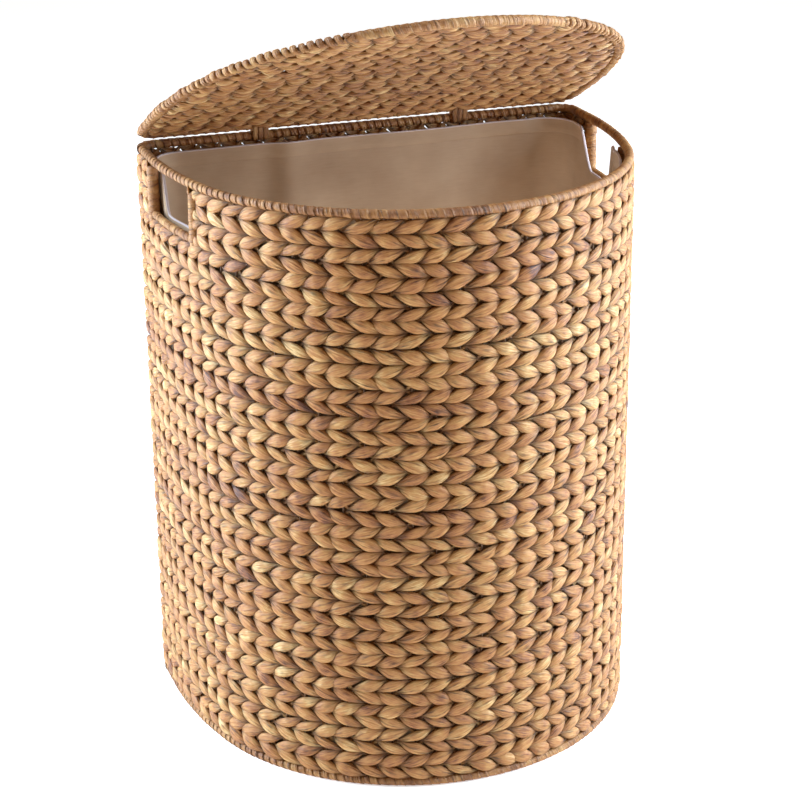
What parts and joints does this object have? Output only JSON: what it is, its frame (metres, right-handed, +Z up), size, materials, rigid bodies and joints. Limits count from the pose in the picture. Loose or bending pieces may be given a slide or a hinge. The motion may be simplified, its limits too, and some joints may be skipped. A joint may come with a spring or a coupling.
{
  "type": "laundry basket",
  "caption": "Half-moon woven laundry hamper with a hinged woven lid, cut-out side handles and a loose cloth liner.",
  "frame": {"origin": "centre of the footprint, at floor level", "axes": "+Z up; +Y towards the flat back, where the lid is hinged; +X to the right as seen from the curved front"},
  "size_m": [0.4924, 0.3703, 0.7624],
  "materials": {
    "woven_fibre": "matte",
    "binding_strip": "matte",
    "frame_wire": "satin",
    "liner_cloth": "matte"
  },
  "bodies": {
    "basket": {"rim_wire": "frame_wire", "rim_binding": "binding_strip", "base_wire": "frame_wire", "base_binding": "binding_strip", "stakes": "frame_wire", "handle_wire_left": "frame_wire", "handle_wire_right": "frame_wire", "handle_binding_left": "binding_strip", "handle_binding_right": "binding_strip", "base_ribs": "frame_wire", "base_weave": "woven_fibre", "band_01": "woven_fibre", "band_02": "woven_fibre", "band_03": "woven_fibre", "band_04": "woven_fibre", "band_05": "woven_fibre", "band_06": "woven_fibre", "band_07": "woven_fibre", "band_08": "woven_fibre", "band_09": "woven_fibre", "band_10": "woven_fibre", "band_11": "woven_fibre", "band_12": "woven_fibre", "band_13": "woven_fibre", "band_14": "woven_fibre", "band_15": "woven_fibre", "band_16": "woven_fibre", "band_17": "woven_fibre", "band_18": "woven_fibre", "band_19": "woven_fibre", "band_20": "woven_fibre", "band_21": "woven_fibre", "liner_wall": "liner_cloth", "liner_base": "liner_cloth", "liner_hem": "liner_cloth"},
    "lid": {"lid_wire": "frame_wire", "lid_binding": "binding_strip", "lid_ribs": "frame_wire", "lid_band_01": "woven_fibre", "lid_band_02": "woven_fibre", "lid_band_03": "woven_fibre", "lid_band_04": "woven_fibre", "lid_band_05": "woven_fibre", "lid_band_06": "woven_fibre", "lid_band_07": "woven_fibre", "lid_band_08": "woven_fibre", "lid_band_09": "woven_fibre", "lid_band_10": "woven_fibre", "lid_band_11": "woven_fibre", "lid_band_12": "woven_fibre", "lid_band_13": "woven_fibre", "hinge_strap_left": "binding_strip", "hinge_strap_right": "binding_strip"}
  },
  "joints": [
    {"name": "lid_hinge", "type": "hinge", "parent": "basket", "child": "lid", "pos_m": [0, 0.179, 0.59315], "axis": [-1, 0, 0], "range_deg": [-26, 94]}
  ]
}
